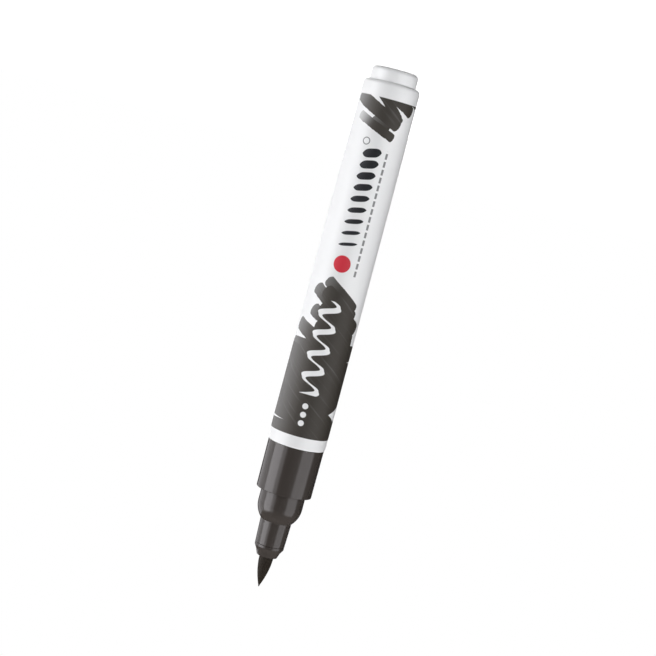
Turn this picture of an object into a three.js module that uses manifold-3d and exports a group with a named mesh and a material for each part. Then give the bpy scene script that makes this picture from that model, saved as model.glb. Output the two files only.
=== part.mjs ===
// A brush marker for lettering and watercolour, without its cap.
// Millimetres, +Z up. The pen stands on its tail plug: the origin is the centre of the plug's flat end
// face and +Z runs along the pen to the tip of the brush.
import * as THREE from 'three';
import { mergeVertices } from 'three/addons/utils/BufferGeometryUtils.js';
import Module from 'manifold-3d';

const wasm = await Module();
wasm.setup();

// ---------------------------------------------------------------- driving dimensions
const totalLength = 135.8;

const barrelTailZ = 3.45;         // the barrel's tail rim, where the plug's head stands proud
const barrelNoseZ = 97.4;         // the barrel's nose rim, against the grip's rear shoulder
const barrelTailRadius = 7.24;
const barrelWaistRadius = 7.5;    // the barrel's widest place, just behind its nose
const barrelWaistZ = 93.4;
const barrelNoseRadius = 7.42;    // where the nose starts to round in to its rim
const noseRimRadius = 7.3;
const noseRounding = 1.5;
const tailRounding = 1.2;
const boreTailRadius = 6;
const boreNoseRadius = 6.3;

const plugFaceRadius = 5.88;
const plugRounding = 1.15;
const plugSpigotEndZ = 15;
const plugFloor = 1.8;

const gripRearRadius = 7.27;
const gripFrontRadius = 7.2;
const gripFrontZ = 110.1;         // the flat shoulder that a cap closes against
const gripRounding = 0.18;
const collarRadius = 5.8;
const collarStraightEndZ = 113.6;
const collarNoseArc = 6.3;        // radius of the bullet-shaped front of the collar
const neckRearRadius = 4.06;
const neckFrontRadius = 3.84;
const neckFrontZ = 124.25;
const sectionRearZ = 86;

const nozzleZ = 127.45;           // the nozzle's front face, where the brush comes out
const nozzleRadius = 2.62;
const flangeRadius = 3.82;
const flangeThickness = 0.7;
const chamferHeight = 1.05;        // from the flange's edge in to the rear of the nozzle's cone
const coneRearRadius = 3.17;
const holderRearZ = 103;
const holderStemRadius = 2.9;
const mouthRadius = 2.3;
const mouthDepth = 0.4;

const bundleRadius = 1.85;        // the fibre bundle where the holder grips it
const rootTopZ = 125.2;
const weldRadius = 2.3;
const weldThickness = 1;

const reservoirRadius = 4.65;
const wrapRadius = 4.9;
const reservoirTailZ = 10.05;
const reservoirFrontZ = 96.4;

const wickRadius = 0.8;
const wickTailZ = 84.5;
const wickFrontZ = 115.5;

const clearance = 0.05;           // between pieces that are pushed together
const beadHeight = 0.17;          // snap beads on the plug and on the grip section's spigot
const beadHalfWidth = 0.7;
const plugBeadZ = 8;
const sectionBeadZ = 91;

const ribCount = 6;               // ribs in the barrel's bore that centre the reservoir
const ribInnerRadius = 5;
const ribThickness = 0.8;

const roundSides = 48;
const fineSides = 32;

const white = { color: 0xf1f2f3, roughness: 0.32, metalness: 0 };
const darkGloss = { color: 0x3d3a37, roughness: 0.22, metalness: 0 };
const darkFibre = { color: 0x1d1b19, roughness: 0.85, metalness: 0 };
const inkedFibre = { color: 0x2b2827, roughness: 0.9, metalness: 0 };
const film = { color: 0xd9dde0, roughness: 0.15, metalness: 0 };

// ---------------------------------------------------------------- shape helpers

// The barrel's bore tapers with its outside.
function boreRadius(z) {
  const along = (z - barrelTailZ) / (barrelNoseZ - barrelTailZ);
  return boreTailRadius + along * (boreNoseRadius - boreTailRadius);
}

// Points of an arc in the (radius, z) plane, angles in degrees from the +radius direction.
function arc(radius, centreR, centreZ, fromDeg, toDeg, steps) {
  const points = [];
  for (let i = 0; i <= steps; i += 1) {
    const angle = THREE.MathUtils.degToRad(fromDeg + ((toDeg - fromDeg) * i) / steps);
    points.push([centreR + radius * Math.cos(angle), centreZ + radius * Math.sin(angle)]);
  }
  return points;
}

// A low snap bead, or the groove it clicks into, on a surface that follows the bore.
function bead(z, inset) {
  return [-1, 0, 1].map((side) => {
    const height = side === 0 ? beadHeight : 0;
    const beadZ = z + side * beadHalfWidth;
    return [boreRadius(beadZ) - inset + height, beadZ];
  });
}

// Turns an outline of [radius, z] points about the Z axis. The outline goes up on the outside.
function turned(outline, sides = roundSides) {
  const points = outline.map(([radius, z]) => new THREE.Vector2(radius, z));
  const geometry = new THREE.LatheGeometry(points, sides);
  geometry.rotateX(Math.PI / 2);
  return geometry;
}

// A ring-shaped body: its outline closes on itself.
function turnedRing(outline, sides = roundSides) {
  return turned([...outline, outline[0]], sides);
}

function solid(geometry) {
  const bare = geometry.clone();
  bare.deleteAttribute('normal');
  bare.deleteAttribute('uv');
  const merged = mergeVertices(bare, 1e-5);
  const triangles = [];
  const index = merged.getIndex().array;
  for (let i = 0; i < index.length; i += 3) {
    const [a, b, c] = [index[i], index[i + 1], index[i + 2]];
    if (a !== b && b !== c && c !== a) triangles.push(a, b, c);
  }
  return new wasm.Manifold(new wasm.Mesh({
    numProp: 3,
    vertProperties: new Float32Array(merged.getAttribute('position').array),
    triVerts: new Uint32Array(triangles),
  }));
}

function geometryOf(manifold) {
  const result = manifold.getMesh();
  const geometry = new THREE.BufferGeometry();
  geometry.setAttribute('position', new THREE.BufferAttribute(result.vertProperties, 3));
  geometry.setIndex(new THREE.BufferAttribute(result.triVerts, 1));
  geometry.computeVertexNormals();
  return geometry;
}

// A block that spans innerR to outerR along +X and zLow to zHigh, turned about Z by an angle.
function radialBlock(innerR, outerR, thickness, zLow, zHigh, angle) {
  const block = new THREE.BoxGeometry(outerR - innerR, thickness, zHigh - zLow);
  block.translate((innerR + outerR) / 2, 0, (zLow + zHigh) / 2);
  block.rotateZ(angle);
  return solid(block);
}

function piece(name, geometry, finish) {
  const mesh = new THREE.Mesh(geometry, new THREE.MeshStandardMaterial(finish));
  mesh.name = name;
  return mesh;
}

// ---------------------------------------------------------------- the pieces

// The white tube: tapered outside and in, drawn in at its nose to meet the grip, with a groove for each
// snap bead and ribs along the bore.
function barrel() {
  const noseCentreR = barrelNoseRadius - noseRounding;
  const rimAngle = Math.acos((noseRimRadius - noseCentreR) / noseRounding);
  const noseCentreZ = barrelNoseZ - noseRounding * Math.sin(rimAngle);
  const tube = turnedRing([
    [boreTailRadius, barrelTailZ],
    ...arc(tailRounding, barrelTailRadius - tailRounding, barrelTailZ + tailRounding, -90, 0, 6),
    [barrelWaistRadius, barrelWaistZ],
    ...arc(noseRounding, noseCentreR, noseCentreZ, 0, THREE.MathUtils.radToDeg(rimAngle), 3),
    [boreNoseRadius, barrelNoseZ],
    ...bead(sectionBeadZ, 0).reverse(),
    ...bead(plugBeadZ, 0).reverse(),
  ]);
  let body = solid(tube);
  for (let i = 0; i < ribCount; i += 1) {
    const angle = (2 * Math.PI * i) / ribCount;
    const rib = radialBlock(ribInnerRadius, ribInnerRadius + 1.6, ribThickness,
      plugSpigotEndZ + 1, sectionRearZ - 1, angle);
    body = body.add(rib);
  }
  return geometryOf(body);
}

// The plug: a cup pushed into the tail, with a cross inside that the reservoir's end rests on.
function tailPlug() {
  const cupRadius = 4.6;
  const seatRadius = wrapRadius + 0.1;
  const seatZ = reservoirTailZ - clearance;
  const cup = turned([
    [0, 0],
    ...arc(plugRounding, plugFaceRadius - plugRounding, plugRounding, -90, 0, 6),
    [boreRadius(barrelTailZ) - clearance, barrelTailZ - 0.1],
    ...bead(plugBeadZ, clearance),
    [boreRadius(plugSpigotEndZ) - clearance, plugSpigotEndZ - 0.4],
    [boreRadius(plugSpigotEndZ) - clearance - 0.3, plugSpigotEndZ],
    [seatRadius, plugSpigotEndZ],
    [seatRadius, seatZ],
    [cupRadius, seatZ],
    [cupRadius, plugFloor],
    [0, plugFloor],
  ]);
  let body = solid(cup);
  const armReach = cupRadius + 0.4;
  [0, Math.PI / 2].forEach((angle) => {
    body = body.add(radialBlock(-armReach, armReach, 0.9, plugFloor - 0.3, seatZ - 0.2, angle));
  });
  return geometryOf(body);
}

// The dark front moulding: spigot, grip, cap shoulder, bullet-shaped collar and neck, bored right through.
function gripSection() {
  const spigotBore = wrapRadius + 0.15;
  const chamberRadius = 4.2;
  const chamberEndZ = 105;
  const stemBore = holderStemRadius + clearance;
  const shoulderZ = barrelNoseZ + clearance;
  const arcCentreR = collarRadius - collarNoseArc;
  const neckMeetsAt = THREE.MathUtils.radToDeg(Math.acos((neckRearRadius - arcCentreR) / collarNoseArc));
  return turnedRing([
    [spigotBore, sectionRearZ],
    [boreRadius(sectionRearZ) - clearance - 0.3, sectionRearZ],
    [boreRadius(sectionRearZ) - clearance, sectionRearZ + 0.4],
    ...bead(sectionBeadZ, clearance),
    [boreRadius(shoulderZ) - clearance, shoulderZ],
    [gripRearRadius, shoulderZ],
    ...arc(gripRounding, gripFrontRadius - gripRounding, gripFrontZ - gripRounding, 0, 90, 3),
    [collarRadius, gripFrontZ],
    ...arc(collarNoseArc, arcCentreR, collarStraightEndZ, 0, neckMeetsAt, 8),
    [neckFrontRadius, neckFrontZ - 0.12],
    [neckFrontRadius - 0.12, neckFrontZ],
    [stemBore, neckFrontZ],
    [stemBore, chamberEndZ + 1.5],
    [chamberRadius, chamberEndZ],
    [chamberRadius, reservoirFrontZ + 0.1],
    [spigotBore, reservoirFrontZ + 0.1],
  ]);
}

// The nozzle insert that grips the brush. Grooves along its stem let air past into the chamber.
function brushHolder() {
  const bore = bundleRadius + clearance;
  const flangeZ = neckFrontZ + clearance;
  const flangeEdgeZ = flangeZ + flangeThickness;
  const weldSeatZ = holderRearZ + weldThickness + 3 * clearance;
  const body = solid(turnedRing([
    [weldRadius + clearance, holderRearZ],
    [holderStemRadius, holderRearZ],
    [holderStemRadius, flangeZ],
    [flangeRadius, flangeZ],
    [flangeRadius, flangeEdgeZ],
    [coneRearRadius, flangeEdgeZ + chamferHeight],
    [nozzleRadius + 0.08, nozzleZ - 0.2],
    [nozzleRadius - 0.1, nozzleZ],
    [mouthRadius, nozzleZ],
    [bore + clearance, nozzleZ - mouthDepth],
    [bore, nozzleZ - 2 * mouthDepth],
    [bore, weldSeatZ],
    [weldRadius + clearance, weldSeatZ],
  ], fineSides));
  let grooved = body;
  const grooveDepth = 0.35;
  for (let i = 0; i < 4; i += 1) {
    const angle = Math.PI / 4 + (Math.PI / 2) * i;
    const cutter = radialBlock(holderStemRadius - grooveDepth, holderStemRadius + 1, 0.6,
      holderRearZ - 1, flangeZ - 2, angle);
    grooved = grooved.subtract(cutter);
  }
  return geometryOf(grooved);
}

// The bound root of the fibre bundle: a welded flange, then the rod, with a hole for the wick.
function brushRoot() {
  const weldZ = holderRearZ + clearance;
  const wickHole = wickRadius + clearance;
  return turned([
    [0, wickFrontZ + 0.5],
    [wickHole, wickFrontZ + 0.5],
    [wickHole, weldZ],
    [weldRadius, weldZ],
    [weldRadius, weldZ + weldThickness],
    [bundleRadius, weldZ + weldThickness],
    [bundleRadius, rootTopZ],
    [0, rootTopZ],
  ], fineSides);
}

// The part of the brush that shows and bends. Its hidden end is a ball about the bending point, which is
// the centre of the nozzle's mouth. The outside is a quarter sine wave, drawn out towards the tip.
function brushTip() {
  const ballRadius = bundleRadius - clearance;
  const exposed = totalLength - nozzleZ;
  const outline = arc(ballRadius, 0, nozzleZ, -90, -6, 8);
  const steps = 14;
  for (let i = steps; i > 0; i -= 1) {
    const fromTip = i / steps;
    const radius = bundleRadius * Math.sin((Math.PI / 2) * fromTip ** 0.9);
    outline.push([Math.min(radius, ballRadius), totalLength - exposed * fromTip]);
  }
  outline.push([0.12, totalLength - 0.1]);
  outline.push([0, totalLength]);
  outline[0][0] = 0;
  return turned(outline, fineSides);
}

function feedWick() {
  return turned([
    [0, wickTailZ],
    [wickRadius, wickTailZ],
    [wickRadius, wickFrontZ],
    [0, wickFrontZ],
  ], 16);
}

// The fibre core that holds the ink, pierced at its front by the wick.
function reservoirCore() {
  const wickHole = wickRadius + clearance;
  return turned([
    [0, reservoirTailZ],
    [reservoirRadius, reservoirTailZ],
    [reservoirRadius, reservoirFrontZ],
    [wickHole, reservoirFrontZ],
    [wickHole, wickTailZ - 0.3],
    [0, wickTailZ - 0.3],
  ]);
}

function reservoirWrap() {
  const inner = reservoirRadius + 0.03;
  return turnedRing([
    [inner, reservoirTailZ],
    [wrapRadius, reservoirTailZ],
    [wrapRadius, reservoirFrontZ],
    [inner, reservoirFrontZ],
  ]);
}

// ---------------------------------------------------------------- the marker
const marker = new THREE.Group();
marker.name = 'calligraphy_marker';
marker.add(
  piece('barrel', barrel(), white),
  piece('tail_plug', tailPlug(), white),
  piece('grip_section', gripSection(), darkGloss),
  piece('brush_holder', brushHolder(), darkGloss),
  piece('brush_root', brushRoot(), darkFibre),
  piece('brush_tip', brushTip(), darkFibre),
  piece('feed_wick', feedWick(), inkedFibre),
  piece('reservoir_core', reservoirCore(), inkedFibre),
  piece('reservoir_wrap', reservoirWrap(), film),
);

export default marker;
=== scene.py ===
"""A brush marker for lettering and watercolour, uncapped, built round its CAD frame.

The pen stands on its tail along +Z. Lengths in this script are millimetres until a mesh is made;
everything in Blender is in metres.
"""
import math
import random

import bpy
from mathutils import Matrix, Vector


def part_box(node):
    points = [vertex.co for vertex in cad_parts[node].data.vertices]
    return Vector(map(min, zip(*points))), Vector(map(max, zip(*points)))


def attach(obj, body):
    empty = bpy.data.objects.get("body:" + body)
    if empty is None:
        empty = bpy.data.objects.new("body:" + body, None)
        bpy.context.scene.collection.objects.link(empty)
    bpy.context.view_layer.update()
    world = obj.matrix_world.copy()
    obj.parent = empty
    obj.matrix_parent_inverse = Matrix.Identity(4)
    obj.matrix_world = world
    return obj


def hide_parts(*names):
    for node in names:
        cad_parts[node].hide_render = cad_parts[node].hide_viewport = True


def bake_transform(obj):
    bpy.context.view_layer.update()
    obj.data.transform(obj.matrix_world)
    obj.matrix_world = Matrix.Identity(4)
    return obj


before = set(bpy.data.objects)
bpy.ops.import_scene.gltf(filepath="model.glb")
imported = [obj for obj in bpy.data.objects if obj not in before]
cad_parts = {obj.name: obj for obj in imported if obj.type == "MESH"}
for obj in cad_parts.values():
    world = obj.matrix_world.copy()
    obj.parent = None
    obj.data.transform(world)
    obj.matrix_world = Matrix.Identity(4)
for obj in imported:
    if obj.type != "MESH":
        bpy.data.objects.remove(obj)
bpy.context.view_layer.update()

MM = 0.001


# ---------------------------------------------------------------- sizes, read from the frame

def z_range(node):
    """Lowest and highest z of a CAD node, in millimetres."""
    low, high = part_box(node)
    return low.z / MM, high.z / MM


def outer_radius(node, z):
    """The outside radius of a turned CAD node at its ring of vertices nearest to height z."""
    vertices = [v.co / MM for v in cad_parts[node].data.vertices]
    nearest = min(abs(v.z - z) for v in vertices)
    return max(math.hypot(v.x, v.y) for v in vertices if abs(v.z - z) < nearest + 0.005)


PLUG_FACE, PLUG_END = z_range("tail_plug")
BARREL_TAIL, BARREL_NOSE = z_range("barrel")
SECTION_REAR, NECK_FRONT = z_range("grip_section")
HOLDER_REAR, NOZZLE_FACE = z_range("brush_holder")
ROOT_REAR, ROOT_TOP = z_range("brush_root")
TIP = z_range("brush_tip")[1]
RESERVOIR_TAIL, RESERVOIR_FRONT = z_range("reservoir_wrap")

TAIL_ROUNDING = 1.2
PLUG_ROUNDING = 1.15
BARREL_WAIST = BARREL_NOSE - 4             # the barrel's widest place
NOSE_ROUNDING = 1.5
NOSE_ROUNDING_START = BARREL_NOSE - 0.59
GRIP_FRONT = BARREL_NOSE + 12.7            # the shoulder that a cap closes against
COLLAR_END = GRIP_FRONT + 3.5              # where the collar starts to round in
COLLAR_ARC = 6.3
GAP = 0.05                                 # the hairline between two pieces pushed together

PLUG_RADIUS = outer_radius("tail_plug", PLUG_FACE + PLUG_ROUNDING)
TAIL_RADIUS = outer_radius("barrel", BARREL_TAIL + TAIL_ROUNDING)
WAIST_RADIUS = outer_radius("barrel", BARREL_WAIST) - 0.001     # a hair inside the CAD's own box
NOSE_RADIUS = outer_radius("barrel", NOSE_ROUNDING_START)
RIM_RADIUS = outer_radius("barrel", BARREL_NOSE)
GRIP_REAR_RADIUS = outer_radius("grip_section", BARREL_NOSE + GAP)
GRIP_FRONT_RADIUS = outer_radius("grip_section", GRIP_FRONT - 0.2)
COLLAR_RADIUS = outer_radius("grip_section", COLLAR_END)
NECK_FRONT_RADIUS = outer_radius("grip_section", NECK_FRONT - 0.12)
NECK_REAR_RADIUS = 4.06
FLANGE_RADIUS = outer_radius("brush_holder", NECK_FRONT + GAP)
BUNDLE_RADIUS = outer_radius("brush_root", ROOT_TOP)
SPIGOT_RADIUS = PLUG_RADIUS + 0.07
BORE_TAIL_RADIUS = SPIGOT_RADIUS + GAP
BORE_NOSE_RADIUS = 6.3
SOCKET_RADIUS = 5.1                        # the grip section's bore where the reservoir's end sits
HOLDER_STEM_RADIUS = 2.9
BRUSH_DEPTH = 1.2                          # how far the ridged bundle reaches back into the nozzle


# ---------------------------------------------------------------- mesh helpers

def filleted(corners, steps=6):
    """An outline of (radius, z) points from (radius, z, fillet) corners, each rounded by its fillet."""
    points = []
    for i, (r, z, fillet) in enumerate(corners):
        if fillet <= 0 or i in (0, len(corners) - 1):
            points.append((r, z))
            continue
        here = Vector((r, z))
        before = (Vector(corners[i - 1][:2]) - here).normalized()
        after = (Vector(corners[i + 1][:2]) - here).normalized()
        half_angle = before.angle(after) / 2
        back = fillet / math.tan(half_angle)
        centre = here + (before + after).normalized() * (fillet / math.sin(half_angle))
        first = here + before * back - centre
        last = here + after * back - centre
        turn = first.angle_signed(last)
        for k in range(steps + 1):
            angle = -turn * k / steps
            c, s = math.cos(angle), math.sin(angle)
            points.append(tuple(centre + Vector((first.x * c - first.y * s, first.x * s + first.y * c))))
    return points


def arc(radius, centre_r, centre_z, end_deg, steps):
    """Points of an arc in the (radius, z) plane that starts pointing outwards and turns towards +Z."""
    points = []
    for k in range(steps + 1):
        angle = math.radians(end_deg * k / steps)
        points.append((centre_r + radius * math.cos(angle), centre_z + radius * math.sin(angle)))
    return points


def arc_end(radius, start_r, end_r):
    """How far an arc that starts straight along +Z at start_r turns to reach end_r, in degrees."""
    return math.degrees(math.acos(1 - (start_r - end_r) / radius))


def mesh_object(name, vertices, faces, sharp_deg=35):
    """A smooth-shaded mesh piece from millimetre vertices, sharp where faces meet at a real edge."""
    mesh = bpy.data.meshes.new(name)
    mesh.from_pydata([tuple(c * MM for c in v) for v in vertices], [], faces)
    mesh.validate()
    mesh.shade_smooth()
    mesh.set_sharp_from_angle(angle=math.radians(sharp_deg))
    piece = bpy.data.objects.new(name, mesh)
    bpy.context.scene.collection.objects.link(piece)
    return piece


def revolved(outline, sides, ring):
    """Vertices and faces of an outline turned about Z. A ring's outline closes on itself."""
    vertices, faces, rows = [], [], []
    for r, z in outline:
        if r < 1e-6:
            rows.append([len(vertices)] * sides)
            vertices.append((0, 0, z))
            continue
        rows.append(list(range(len(vertices), len(vertices) + sides)))
        for k in range(sides):
            angle = 2 * math.pi * k / sides
            vertices.append((r * math.cos(angle), r * math.sin(angle), z))
    pairs = list(zip(rows, rows[1:]))
    if ring:
        pairs.append((rows[-1], rows[0]))
    for low, high in pairs:
        for k in range(sides):
            n = (k + 1) % sides
            face = [low[k], low[n], high[n], high[k]]
            face = [v for j, v in enumerate(face) if v not in face[:j]]
            if len(face) > 2:
                faces.append(face)
    return vertices, faces


def radial_block(inner, outer, thickness, z_low, z_high, angle):
    """Vertices and faces of a flat block that spans inner to outer radius at an angle round Z."""
    c, s = math.cos(angle), math.sin(angle)
    vertices = []
    for z in (z_low, z_high):
        for along, across in ((inner, -1), (outer, -1), (outer, 1), (inner, 1)):
            side = across * thickness / 2
            vertices.append((along * c - side * s, along * s + side * c, z))
    faces = [(3, 2, 1, 0), (4, 5, 6, 7)]
    faces += [(k, (k + 1) % 4, (k + 1) % 4 + 4, k + 4) for k in range(4)]
    return vertices, faces


def joined(*parts):
    """One list of vertices and one of faces from several (vertices, faces) pairs."""
    vertices, faces = [], []
    for more, sides in parts:
        base = len(vertices)
        vertices += more
        faces += [tuple(base + v for v in face) for face in sides]
    return vertices, faces


def tube_along(points, radii, sides):
    """A closed tube round a line of points that runs mostly along Z."""
    vertices, faces = [], []
    for (x, y, z), radius in zip(points, radii):
        for k in range(sides):
            angle = 2 * math.pi * k / sides
            vertices.append((x + radius * math.cos(angle), y + radius * math.sin(angle), z))
    for row in range(len(points) - 1):
        for k in range(sides):
            a, n = row * sides + k, row * sides + (k + 1) % sides
            faces.append((a, n, n + sides, a + sides))
    faces.append(tuple(reversed(range(sides))))
    faces.append(tuple(range(len(vertices) - sides, len(vertices))))
    return vertices, faces


# ---------------------------------------------------------------- shader helpers

class Field:
    """A number that varies over a surface: a socket, with arithmetic that adds Math nodes."""

    def __init__(self, tree, socket):
        self.tree = tree
        self.socket = socket

    def math(self, operation, *others):
        node = self.tree.nodes.new("ShaderNodeMath")
        node.operation = operation
        for socket, value in zip(node.inputs, (self, *others)):
            if isinstance(value, Field):
                self.tree.links.new(value.socket, socket)
            else:
                socket.default_value = value
        return Field(self.tree, node.outputs[0])

    def __add__(self, other):
        return self.math("ADD", other)

    def __sub__(self, other):
        return self.math("SUBTRACT", other)

    def __rsub__(self, other):
        return self * -1 + other

    def __mul__(self, other):
        return self.math("MULTIPLY", other)

    def __truediv__(self, other):
        return self.math("DIVIDE", other)

    def highest(self, other):
        return self.math("MAXIMUM", other)

    def size(self):
        return self.math("ABSOLUTE")

    def hypot(self, other):
        return (self * self + other * other).math("SQRT")

    def ramp(self, start, end, low=0.0, high=1.0):
        """Goes smoothly from low at start to high at end, and stays there."""
        node = self.tree.nodes.new("ShaderNodeMapRange")
        node.interpolation_type = "SMOOTHSTEP"
        node.inputs["From Min"].default_value = start
        node.inputs["From Max"].default_value = end
        node.inputs["To Min"].default_value = low
        node.inputs["To Max"].default_value = high
        self.tree.links.new(self.socket, node.inputs["Value"])
        return Field(self.tree, node.outputs["Result"])

    def within(self, half_width):
        """1 where the number is closer to 0 than half_width, with a printed edge's softness."""
        return self.size().ramp(half_width + PRINT_EDGE, half_width - PRINT_EDGE)


class Surface:
    """A material's node tree with the coordinates and patterns that the materials here share."""

    def __init__(self, name, base, roughness, ior=1.49):
        self.material = bpy.data.materials.new(name)
        self.material.use_nodes = True
        self.tree = self.material.node_tree
        self.shader = self.tree.nodes["Principled BSDF"]
        self.shader.inputs["Base Color"].default_value = (*base, 1)
        self.shader.inputs["Roughness"].default_value = roughness
        self.shader.inputs["IOR"].default_value = ior
        self.material.diffuse_color = (*base, 1)
        coordinates = self.tree.nodes.new("ShaderNodeTexCoord")
        scale = self.tree.nodes.new("ShaderNodeVectorMath")
        scale.operation = "SCALE"
        scale.inputs["Scale"].default_value = 1 / MM
        self.tree.links.new(coordinates.outputs["Object"], scale.inputs[0])
        self.place = scale.outputs[0]
        split = self.tree.nodes.new("ShaderNodeSeparateXYZ")
        self.tree.links.new(self.place, split.inputs[0])
        self.x, self.y, self.z = (Field(self.tree, s) for s in split.outputs)

    def around(self):
        """The angle round the pen, 0 at the front, which is the -Y side, and growing towards -X."""
        return (self.x * -1).math("ARCTAN2", self.y * -1)

    def vector(self, x, y, z=0.0):
        node = self.tree.nodes.new("ShaderNodeCombineXYZ")
        for socket, value in zip(node.inputs, (x, y, z)):
            if isinstance(value, Field):
                self.tree.links.new(value.socket, socket)
            else:
                socket.default_value = value
        return node.outputs[0]

    def noise(self, per_mm, detail=2.0, vector=None):
        """Noise from 0 to 1 with about per_mm waves to the millimetre."""
        node = self.tree.nodes.new("ShaderNodeTexNoise")
        node.inputs["Scale"].default_value = per_mm
        node.inputs["Detail"].default_value = detail
        self.tree.links.new(vector or self.place, node.inputs["Vector"])
        return Field(self.tree, node.outputs["Fac"])

    def mix(self, factor, first, second):
        """A colour: first where factor is 0 and second where it is 1. Each is a socket or a colour."""
        node = self.tree.nodes.new("ShaderNodeMix")
        node.data_type = "RGBA"
        self.tree.links.new(factor.socket, node.inputs[0])
        for socket, value in ((node.inputs[6], first), (node.inputs[7], second)):
            if isinstance(value, tuple):
                socket.default_value = (*value, 1)
            else:
                self.tree.links.new(value, socket)
        return node.outputs[2]

    def colour(self, socket):
        self.tree.links.new(socket, self.shader.inputs["Base Color"])

    def roughness(self, field):
        self.tree.links.new(field.socket, self.shader.inputs["Roughness"])

    def bump(self, height_mm):
        node = self.tree.nodes.new("ShaderNodeBump")
        node.inputs["Distance"].default_value = MM
        self.tree.links.new(height_mm.socket, node.inputs["Height"])
        self.tree.links.new(node.outputs[0], self.shader.inputs["Normal"])


def srgb(r, g, b):
    """A 0 to 255 display colour as linear light."""
    def linear(c):
        c /= 255
        return c / 12.92 if c <= 0.04045 else ((c + 0.055) / 1.055) ** 2.4
    return linear(r), linear(g), linear(b)


def shaded(colour, factor):
    return tuple(factor * c for c in colour)


# ---------------------------------------------------------------- the printed pattern

INK = srgb(48, 44, 38)
INK_BLACK = srgb(20, 21, 25)
RED = srgb(203, 28, 50)
WHITE = (0.86, 0.865, 0.875)

PRINT_EDGE = 0.05                      # half the width over which a printed edge fades
MEAN_RADIUS = (WAIST_RADIUS + TAIL_RADIUS) / 2
QUARTER_ROUND = math.pi * MEAN_RADIUS / 2     # the brushwork spans this far to each side of its middle
PRINT_START, PRINT_END = 3.1, 89.8     # the print stops this far from the nose rim, and there
FIELD_TOP = 25.6                       # nearer the nose than this, the dark field is solid
GRAIN_SLOPE = math.radians(-36)        # the bristle marks run at this angle

# Brush strokes as start (u, v), end (u, v), half width and how strong the ink is at the start. Each stroke
# starts at its left end, and its weaker start is partly the brush's own fade and partly a painted sheen of
# the light from the left.
FIELD_STROKES = [
    ((-2.5, 42.8), (5.3, 37.3), 1.5, 0.9),
    ((-5.1, 40.4), (7.9, 32.3), 1.65, 0.9),
    ((-2.3, 40.2), (5.4, 35.2), 1.9, 1.0),
    ((-4.5, 35.0), (7.0, 29.3), 1.7, 0.9),
    ((-2.0, 35.9), (5.6, 31.4), 2.3, 1.0),
    ((-8.5, 30.7), (3.0, 26.4), 1.75, 0.9),
    ((-2.1, 31.6), (7.0, 27.9), 2.0, 1.0),
    ((-3.8, 27.4), (10.2, 26.1), 1.8, 1.0),
    ((-9.6, 25.6), (-3.0, 25.9), 1.55, 0.9),
]
TAIL_STROKES = [
    ((-8.2, 89.5), (3.9, 84.0), 1.65, 0.86),
    ((-2.0, 91.2), (4.2, 85.0), 1.3, 1.0),
    ((1.0, 90.8), (7.3, 88.0), 1.55, 1.0),
    ((6.5, 90.7), (9.7, 89.7), 0.7, 1.0),
    ((-2.2, 84.0), (1.4, 82.4), 1.2, 0.9),
    ((-6.2, 84.6), (3.3, 80.7), 1.1, 0.35),
]

# Bare slivers in the field, as the u of the point, the u of the widest place, v and half height there.
BARE_SLIVERS = [(6.6, 10.5, 9.9, 2.0), (-5.4, -10.4, 6.2, 0.28), (8.6, 10.8, 23.7, 0.25)]


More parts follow.
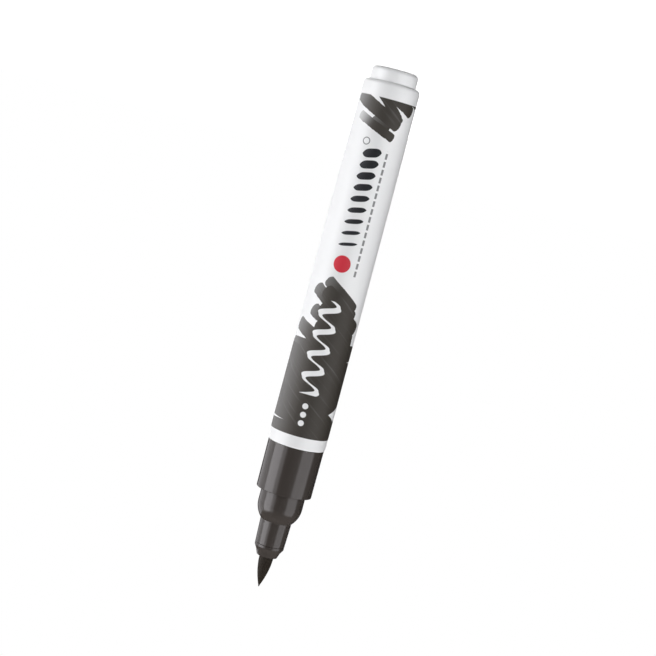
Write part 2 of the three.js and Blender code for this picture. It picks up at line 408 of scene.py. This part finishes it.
class Print:
    """The barrel's print, in millimetres on the unrolled barrel: u to the right, v from the nose rim up.

    The brushwork is there twice, front and back. The small marks, placed by front_u, are on the front.
    """

    def __init__(self, surface):
        self.front_u = surface.around() * MEAN_RADIUS
        self.u = self.front_u.math("WRAP", QUARTER_ROUND, -QUARTER_ROUND)
        self.v = surface.z * -1 + BARREL_NOSE
        c, s = math.cos(GRAIN_SLOPE), math.sin(GRAIN_SLOPE)
        along = self.u * c + self.v * s
        across = self.v * c - self.u * s
        self.streaks = surface.noise(1.0, 3.0, surface.vector(along * 0.07, across * 1.6))
        ragged = surface.noise(1.0, 4.0, surface.vector(along * 0.6, across * 2.6, 7.0))
        self.ragged = (ragged - 0.5) * 0.45

    def stroke(self, start, end, half_width, start_tone_with_sheen):
        """Ink of one flat-ended brush stroke between two places, fainter where it starts: partly the
        brush's fade, partly a painted sheen of the left light.
        """
        reach = math.dist(start, end)
        c, s = (end[0] - start[0]) / reach, (end[1] - start[1]) / reach
        u, v = self.u - start[0], self.v - start[1]
        along = u * c + v * s
        across = v * c - u * s
        beyond = (along * -1).highest(along - reach).highest(0.0)
        flatness = 1.8                     # 1 would make the stroke's ends round
        inside = half_width - (beyond * flatness).hypot(across) - self.ragged
        # fainter at the start, which is the stroke's left end: partly a real fade, partly painted sheen of
        # the light from the left
        tone_with_sheen = along.ramp(-1.5, 4.5, low=start_tone_with_sheen, high=1.0)
        return inside.ramp(-PRINT_EDGE, PRINT_EDGE) * tone_with_sheen

    def gap(self, u_point, u_wide, v, half_height):
        """A bare sliver that opens from a point to its widest place and closes just beyond it."""
        opening = (self.u - u_point) * (half_height / (u_wide - u_point))
        closing = (self.u - u_wide) * (-half_height / math.copysign(1, u_wide - u_point)) + half_height
        half = opening.math("MINIMUM", closing)
        return (half - (self.v - v).size()).ramp(-PRINT_EDGE, PRINT_EDGE)

    def brushwork(self):
        """All the dark ink: the field, the strokes at its ragged edge, and the scribble at the tail.

        White shows through it faintly in dry streaks. Towards both sides it is painted lighter, a painted
        sheen of the side lights.
        """
        ink = (self.v + self.ragged * 2).ramp(FIELD_TOP + 0.1, FIELD_TOP - 0.1)
        for stroke in FIELD_STROKES + TAIL_STROKES:
            ink = ink.highest(self.stroke(*stroke))
        bare = self.gap(*BARE_SLIVERS[0])
        for sliver in BARE_SLIVERS[1:]:
            bare = bare.highest(self.gap(*sliver))
        dry = self.streaks.ramp(0.55, 0.8, low=0.0, high=0.045)
        # painted sheen: the ink is lighter towards the left of each copy and at its right edge, where the
        # side lights would brighten it
        painted_side_sheen = self.u.ramp(-10.0, -3.0, low=0.12, high=0.0)
        painted_side_sheen = painted_side_sheen + self.u.ramp(10.2, 11.5, low=0.0, high=0.1)
        return (ink - bare - dry - painted_side_sheen).highest(0.0) * self.between(PRINT_START, PRINT_END)

    def between(self, v_low, v_high):
        middle, half = (v_low + v_high) / 2, (v_high - v_low) / 2
        return (self.v - middle).within(half)

    def disc(self, u, v, radius):
        return (self.front_u - u).hypot(self.v - v).within(radius)

    def ring(self, u, v, radius, half_line=0.13):
        return ((self.front_u - u).hypot(self.v - v) - radius).within(half_line)

    def line_gauge(self, u, v_start, pitch, count, half_length):
        """A ladder of slanted, pointed pen strokes, each a little broader than the one before."""
        ink = None
        across = (self.front_u - u) / half_length
        squared = across * across
        lens = (squared * squared * -1 + 1.0).highest(0.0)
        slope, thinnest, growth = 0.22, 0.42, 0.09
        slanted = self.v - self.front_u * slope
        for k in range(count):
            half = thinnest + growth * k
            bar = (slanted - (v_start + pitch * k)).size() - lens * half
            one = bar.ramp(PRINT_EDGE, -PRINT_EDGE) * across.within(0.98)
            ink = one if ink is None else ink.highest(one)
        return ink

    def dashes(self, u, v_low, v_high, period, half_width):
        """A broken rule along the barrel."""
        beat = ((self.v - v_low) / period).math("FRACT")
        line = (self.front_u - u).within(half_width)
        return (beat - 0.4).size().ramp(0.38, 0.34) * line * self.between(v_low, v_high)

    def swash(self, u, v_low, v_high, swing, wave):
        """A pointed-pen wave: thick on the way right, thin on the way back."""
        phase = (self.v - v_low) * (2 * math.pi / wave)
        swell = phase.math("COSINE")
        offset = (phase.math("SINE") * swing + u - self.front_u).size()
        steepness = (swell * (swing * 2 * math.pi / wave)).hypot(1.0)
        half_width = swell * 0.32 + 0.52
        inside = half_width - offset / steepness
        return inside.ramp(-PRINT_EDGE, PRINT_EDGE) * self.between(v_low, v_high)


def printed_colour(surface, white):
    """White barrel, dark brushwork front and back, then the small generic marks on the front."""
    pattern = Print(surface)
    ink = pattern.brushwork()
    colour = surface.mix(ink, white, INK)
    gauge = pattern.line_gauge(u=-0.5, v_start=52.9, pitch=2.9, count=9, half_length=2.4)
    colour = surface.mix(gauge, colour, INK_BLACK)
    small = pattern.dashes(u=3.3, v_low=45.2, v_high=77.3, period=2.0, half_width=0.3)
    small = small.highest(pattern.ring(u=-2.7, v=78.6, radius=0.85))
    colour = surface.mix(small * 0.75, colour, INK_BLACK)
    colour = surface.mix(pattern.disc(u=-0.6, v=47.7, radius=2.15), colour, RED)
    marks = pattern.swash(u=-0.6, v_low=14.0, v_high=38.2, swing=2.0, wave=5.4)
    for k in range(3):
        marks = marks.highest(pattern.disc(u=-0.3, v=6.6 + 2.2 * k, radius=0.75))
    return surface.mix(marks, colour, WHITE), ink


# ---------------------------------------------------------------- materials

def white_plastic(name, printed=False):
    """Satin white polypropylene: faint mottling and a very fine moulded texture."""
    s = Surface(name, WHITE, 0.4)
    colour = s.mix(s.noise(0.35, 3.0), WHITE, shaded(WHITE, 0.985))
    gloss = s.noise(2.5, 3.0) * 0.08 + 0.36
    if printed:
        colour, ink = printed_colour(s, colour)
        gloss = gloss + ink * 0.07 + 0.1
    s.colour(colour)
    s.roughness(gloss)
    s.bump(s.noise(3.0, 2.0) * 0.0006)
    return s.material


def dark_plastic():
    """Glossy warm dark grey moulding with faint lengthwise handling marks in its shine."""
    base = srgb(65, 60, 57)
    s = Surface("dark_plastic", base, 0.18)
    s.colour(s.mix(s.noise(0.6, 3.0), shaded(base, 0.97), shaded(base, 1.04)))
    handling = s.noise(1.0, 4.0, s.vector(s.x * 3.0, s.y * 3.0, s.z * 0.35))
    s.roughness(s.noise(1.6, 3.0) * 0.05 + handling * 0.05 + 0.12)
    s.bump(s.noise(2.2, 2.0) * 0.0005)
    return s.material


def brush_fibre():
    """Near-black inked filaments: faint streaks along the brush, hardly any shine."""
    s = Surface("brush_fibre", srgb(38, 33, 27), 0.55)
    s.shader.inputs["Specular IOR Level"].default_value = 0.12
    grain = s.noise(1.0, 3.0, s.vector(s.around() * 9.0, s.z * 0.35))
    s.colour(s.mix(grain, srgb(33, 28, 22), srgb(44, 39, 33)))
    s.roughness(grain * 0.2 + 0.45)
    return s.material


def inked_fibre():
    """Ink-soaked pressed fibre of the reservoir and the wick."""
    s = Surface("inked_fibre", srgb(40, 38, 38), 0.9)
    grain = s.noise(6.0, 4.0, s.vector(s.x, s.y, s.z * 0.15))
    s.colour(s.mix(grain, srgb(28, 26, 26), srgb(58, 55, 54)))
    s.bump(grain * 0.05)
    return s.material


def clear_film():
    """The thin film round the reservoir, tinted by the ink behind it."""
    s = Surface("clear_film", srgb(96, 96, 98), 0.2)
    wrinkle = s.noise(0.5, 3.0, s.vector(s.x, s.y, s.z * 0.2))
    s.colour(s.mix(wrinkle, srgb(84, 84, 86), srgb(120, 121, 124)))
    s.roughness(wrinkle * 0.15 + 0.12)
    s.bump(wrinkle * 0.04)
    return s.material


# ---------------------------------------------------------------- pieces

def make_barrel():
    """The white tube, drawn in at its nose, with ribs inside that centre the reservoir."""
    outline = filleted([
        (BORE_TAIL_RADIUS, BARREL_TAIL + 1, 0),
        (BORE_TAIL_RADIUS, BARREL_TAIL, 0.05),
        (TAIL_RADIUS, BARREL_TAIL, TAIL_ROUNDING),
        (WAIST_RADIUS, BARREL_WAIST, 0),
    ], 10)
    turn = arc_end(NOSE_ROUNDING, NOSE_RADIUS, RIM_RADIUS)
    outline += arc(NOSE_ROUNDING, NOSE_RADIUS - NOSE_ROUNDING, NOSE_ROUNDING_START, turn, 8)
    outline.append((BORE_NOSE_RADIUS, BARREL_NOSE))
    rib_count, rib_inner, rib_outer, rib_thickness = 6, 5, 6.6, 0.8
    rib_rear, rib_front = PLUG_END + 1, SECTION_REAR - 1
    ribs = []
    for k in range(rib_count):
        angle = 2 * math.pi * k / rib_count
        ribs.append(radial_block(rib_inner, rib_outer, rib_thickness, rib_rear, rib_front, angle))
    return mesh_object("barrel_shell", *joined(revolved(outline, 192, True), *ribs))


def make_plug():
    """The tail's cup-shaped plug, with the cross inside that the reservoir rests on."""
    rim_radius, cup_radius, floor = 5.0, 4.6, PLUG_FACE + 1.8
    seat = RESERVOIR_TAIL - GAP
    outline = filleted([
        (0, PLUG_FACE, 0),
        (PLUG_RADIUS, PLUG_FACE, PLUG_ROUNDING),
        (SPIGOT_RADIUS, BARREL_TAIL, 0),
        (SPIGOT_RADIUS, PLUG_END, 0.2),
        (rim_radius, PLUG_END, 0.1),
        (rim_radius, seat, 0),
        (cup_radius, seat, 0.1),
        (cup_radius, floor, 0.2),
        (0, floor, 0),
    ], 10)
    arms = []
    for angle in (0, math.pi / 2):
        arms.append(radial_block(-rim_radius, rim_radius, 0.9, floor - 0.3, seat - 0.2, angle))
    return mesh_object("plug_cap", *joined(revolved(outline, 160, False), *arms))


def make_section():
    """The dark front moulding: spigot, grip, cap shoulder, bullet-shaped collar and slim neck."""
    chamber_radius, chamber_end = 4.2, 105
    stem_bore = HOLDER_STEM_RADIUS + GAP
    neck_rear = COLLAR_END + 4.45
    outline = filleted([
        (SOCKET_RADIUS, SECTION_REAR, 0),
        (BORE_NOSE_RADIUS - 0.1, SECTION_REAR, 0.2),
        (BORE_NOSE_RADIUS - GAP, BARREL_NOSE, 0),
        (BORE_NOSE_RADIUS - GAP, BARREL_NOSE + GAP, 0),
        (GRIP_REAR_RADIUS, BARREL_NOSE + GAP, 0.06),
        (GRIP_FRONT_RADIUS, GRIP_FRONT, 0.18),
        (COLLAR_RADIUS, GRIP_FRONT, 0.06),
        (COLLAR_RADIUS, GRIP_FRONT + 1, 0),
    ], 8)
    turn = arc_end(COLLAR_ARC, COLLAR_RADIUS, NECK_REAR_RADIUS)
    outline += arc(COLLAR_ARC, COLLAR_RADIUS - COLLAR_ARC, COLLAR_END, turn, 28)
    outline += filleted([
        (NECK_REAR_RADIUS, neck_rear, 0),
        (NECK_FRONT_RADIUS, NECK_FRONT, 0.1),
        (stem_bore, NECK_FRONT, 0),
        (stem_bore, chamber_end + 1, 0),
        (chamber_radius, chamber_end, 0),
        (chamber_radius, RESERVOIR_FRONT + 0.1, 0),
        (SOCKET_RADIUS, RESERVOIR_FRONT + 0.1, 0),
    ], 6)
    return mesh_object("grip_moulding", *revolved(outline, 192, True))


def make_holder():
    """The nozzle insert: a stem, a thin flange against the neck, and the cone round the brush."""
    bore = BUNDLE_RADIUS + GAP
    flange_thickness, chamfer_height = 0.7, 1.05
    cone_rear_radius, cone_front_radius, mouth_radius = 3.17, 2.65, 2.25
    flange = NECK_FRONT + GAP
    flange_edge = flange + flange_thickness
    outline = filleted([
        (bore, HOLDER_REAR, 0),
        (HOLDER_STEM_RADIUS, HOLDER_REAR, 0.1),
        (HOLDER_STEM_RADIUS, flange, 0),
        (FLANGE_RADIUS, flange, 0.08),
        (FLANGE_RADIUS, flange_edge, 0.3),
        (cone_rear_radius, flange_edge + chamfer_height, 0.3),
        (cone_front_radius, NOZZLE_FACE, 0.15),
        (mouth_radius, NOZZLE_FACE, 0.12),
        (bore + 0.03, NOZZLE_FACE - 0.5, 0.1),
        (bore, NOZZLE_FACE - 1, 0),
    ], 6)
    return mesh_object("nozzle_insert", *revolved(outline, 144, True))


def bundle_radius(z):
    """The brush's outside: a quarter sine wave from the nozzle's face, drawn out towards the tip."""
    from_tip = max(0.0, min(1.0, (TIP - z) / (TIP - NOZZLE_FACE)))
    return BUNDLE_RADIUS * math.sin(math.pi / 2 * from_tip ** 0.9)


def fibre_surface():
    """The wet bundle: its outside is ridged by the filaments, which draw together to the point."""
    ridges, per_ridge, rows = 60, 6, 56
    sides = ridges * per_ridge
    rear, top = NOZZLE_FACE - BRUSH_DEPTH, TIP - 0.06
    point_radius = 0.13
    vertices = []
    for row in range(rows):
        z = rear + (top - rear) * (row / (rows - 1)) ** 0.8
        radius = max(point_radius, bundle_radius(z))
        drift = 0.05 * math.sin(z * 0.9) + 0.03 * math.sin(z * 2.3)
        for k in range(sides):
            angle = 2 * math.pi * k / sides
            uneven = 0.5 + 0.5 * math.sin(7 * angle + 1.3 * math.sin(3 * angle))
            groove = 0.5 - 0.5 * math.cos(ridges * angle)
            r = radius * (1 - 0.013 * groove - 0.012 * uneven)
            vertices.append((r * math.cos(angle + drift), r * math.sin(angle + drift), z))
    first_end = len(vertices)
    last_row = first_end - sides
    vertices += [(0, 0, rear), (0, 0, TIP)]
    faces = []
    for row in range(rows - 1):
        for k in range(sides):
            a, n = row * sides + k, row * sides + (k + 1) % sides
            faces.append((a, n, n + sides, a + sides))
    for k in range(sides):
        n = (k + 1) % sides
        faces.append((n, k, first_end))
        faces.append((last_row + k, last_row + n, first_end + 1))
    return vertices, faces


def loose_filaments(count, rng):
    """Single filaments that lie half sunk in the bundle and part from it a little near their ends."""
    parts = []
    rows = 14
    sunk, parting = 0.035, 0.02
    for i in range(count):
        angle = 2 * math.pi * (i + rng.uniform(-0.4, 0.4)) / count
        start = NOZZLE_FACE - 0.8
        end = TIP - rng.uniform(0.25, 3.4)
        thickness = rng.uniform(0.022, 0.034)
        twist = rng.uniform(-0.02, 0.02)
        points, radii = [], []
        for k in range(rows):
            share = k / (rows - 1)
            z = start + (end - start) * share
            r = bundle_radius(z) - sunk + parting * share ** 6
            a = angle + twist * (z - start)
            points.append((r * math.cos(a), r * math.sin(a), z))
            radii.append(thickness * (1 - 0.6 * share ** 4))
        parts.append(tube_along(points, radii, 6))
    return joined(*parts)


def make_brush():
    """The fibre bundle from its bound root, clamped in the holder, to its point."""
    weld_radius, weld_thickness = 2.3, 1
    weld_front = ROOT_REAR + weld_thickness
    rod_front = NOZZLE_FACE - 1.0
    root = revolved(filleted([
        (0, ROOT_REAR, 0),
        (weld_radius, ROOT_REAR, 0.1),
        (weld_radius, weld_front, 0.1),
        (BUNDLE_RADIUS, weld_front, 0),
        (BUNDLE_RADIUS - 0.02, rod_front, 0),
        (0, rod_front, 0),
    ]), 48, False)
    filaments = loose_filaments(36, random.Random(7))
    return mesh_object("fibre_brush", *joined(root, fibre_surface(), filaments), 60)


def dressed(piece, node, material):
    """Gives a piece its material and slot, and lets it stand for a CAD node of the pen body."""
    piece.data.materials.append(material)
    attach(piece, "pen_body")
    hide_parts(node)


def build_pieces():
    """Makes every piece with its material, puts all but the brush on the pen body, and dresses the CAD
    nodes that stay visible.
    """
    dark = dark_plastic()
    printed = white_plastic("printed_white_plastic", printed=True)
    dressed(make_barrel(), "barrel", printed)
    dressed(make_plug(), "tail_plug", white_plastic("white_plastic"))
    dressed(make_section(), "grip_section", dark)
    dressed(make_holder(), "brush_holder", dark)
    brush = make_brush()
    brush.data.materials.append(brush_fibre())
    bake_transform(brush)
    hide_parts("brush_root", "brush_tip")
    soaked = inked_fibre()
    film = clear_film()
    for node, material in (("reservoir_core", soaked), ("feed_wick", soaked), ("reservoir_wrap", film)):
        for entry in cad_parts[node].material_slots:
            entry.material = material


# ---------------------------------------------------------------- studio

def make_camera():
    """Below the pen's middle, looking slightly up it, and rolled so that the brush points down."""
    distance, side_step, aim_height = 0.405, 0.00014, 0.0667
    climb, lean = math.radians(5.47), math.radians(14.95)
    forward = Vector((0, math.cos(climb), math.sin(climb)))
    tailward = Vector((0, math.sin(climb), -math.cos(climb)))
    side = forward.cross(tailward)
    up = tailward * math.cos(lean) - side * math.sin(lean)
    right = side * math.cos(lean) + tailward * math.sin(lean)
    data = bpy.data.cameras.new("camera")
    data.lens, data.sensor_width = 87.8, 36
    data.clip_start, data.clip_end = 0.01, 20
    camera = bpy.data.objects.new("camera", data)
    turn = Matrix((right, up, -forward)).transposed().to_4x4()
    place = Vector((0, 0, aim_height)) - forward * distance + right * side_step
    camera.matrix_world = Matrix.Translation(place) @ turn
    bpy.context.scene.collection.objects.link(camera)
    bpy.context.scene.camera = camera


def make_floor():
    """A pale floor with a glow of its own, weakest round the pen. It lights nothing and isn't mirrored."""
    half = 3.0
    mesh = bpy.data.meshes.new("floor")
    corners = [(-half, -half, 0), (half, -half, 0), (half, half, 0), (-half, half, 0)]
    mesh.from_pydata(corners, [], [(0, 1, 2, 3)])
    floor = bpy.data.objects.new("floor", mesh)
    bpy.context.scene.collection.objects.link(floor)
    surface = Surface("pale_floor", (0.75, 0.75, 0.75), 0.9)
    surface.shader.inputs["Specular IOR Level"].default_value = 0.0
    from_pen = surface.x.hypot(surface.y)
    glow = from_pen.ramp(30, 250, low=0.72, high=1.05)
    surface.tree.links.new(glow.socket, surface.shader.inputs["Emission Strength"])
    surface.shader.inputs["Emission Color"].default_value = (1, 1, 1, 1)
    mesh.materials.append(surface.material)
    floor.visible_diffuse = False
    floor.visible_glossy = False
    floor.visible_shadow = False


def area_light(name, place, turn, size, power, seen_by):
    """A rectangular light that either only the matt part of the materials sees, or only their gloss."""
    data = bpy.data.lights.new(name, "AREA")
    data.shape = "RECTANGLE"
    data.size, data.size_y = size
    data.energy = power
    data.color = (1, 1, 1) if seen_by == "matt" else (0.97, 0.96, 1)
    light = bpy.data.objects.new(name, data)
    light.location = place
    light.rotation_euler = turn
    light.visible_camera = False
    light.visible_diffuse = seen_by == "matt"
    light.visible_glossy = seen_by == "gloss"
    bpy.context.scene.collection.objects.link(light)


def upright_panel(name, azimuth_deg, width, power, seen_by):
    """A tall panel that faces the pen from an azimuth, which is 0 on the camera's side and 90 at -X."""
    distance, height, centre_z = 0.5, 0.8, 0.07
    azimuth = math.radians(azimuth_deg)
    place = (-distance * math.sin(azimuth), -distance * math.cos(azimuth), centre_z)
    area_light(name, place, (math.pi / 2, 0, -azimuth), (width, height), power, seen_by)


def make_world(strength):
    """Pure white to the camera, and a faint even fill for everything else."""
    world = bpy.data.worlds.new("studio")
    bpy.context.scene.world = world
    world.use_nodes = True
    tree = world.node_tree
    tree.nodes.clear()
    seen, fill = (tree.nodes.new("ShaderNodeBackground") for _ in range(2))
    seen.inputs["Color"].default_value = (1, 1, 1, 1)
    seen.inputs["Strength"].default_value = 1.0
    fill.inputs["Color"].default_value = (1, 1, 1, 1)
    fill.inputs["Strength"].default_value = strength
    rays = tree.nodes.new("ShaderNodeLightPath")
    mix = tree.nodes.new("ShaderNodeMixShader")
    output = tree.nodes.new("ShaderNodeOutputWorld")
    tree.links.new(rays.outputs["Is Camera Ray"], mix.inputs[0])
    tree.links.new(fill.outputs[0], mix.inputs[1])
    tree.links.new(seen.outputs[0], mix.inputs[2])
    tree.links.new(mix.outputs[0], output.inputs[0])


def make_studio():
    """A key light from the left, a fill from the front right and a light from behind for the colours.

    What the gloss mirrors is separate: a bright wall on the left that fades to the rear, a weaker one on
    the right, and a strip behind.
    """
    bpy.context.scene.view_settings.view_transform = "Standard"
    make_floor()
    make_world(0.01)
    upright_panel("key", -95, 0.3, 3.9, "matt")
    upright_panel("fill", 30, 0.3, 3.0, "matt")
    upright_panel("back", 180, 0.3, 2.8, "matt")
    area_light("overhead", (0, 0, 0.65), (0, 0, 0), (0.15, 0.15), 3.0, "matt")
    upright_panel("left_wall", -67, 0.4, 3.9, "gloss")
    upright_panel("left_wall_front", -37, 0.13, 0.5, "gloss")
    upright_panel("left_wall_rear", -120, 0.52, 1.5, "gloss")
    upright_panel("right_wall", 60, 0.5, 2.15, "gloss")
    upright_panel("back_strip", 173, 0.13, 0.4, "gloss")


make_camera()
build_pieces()
make_studio()
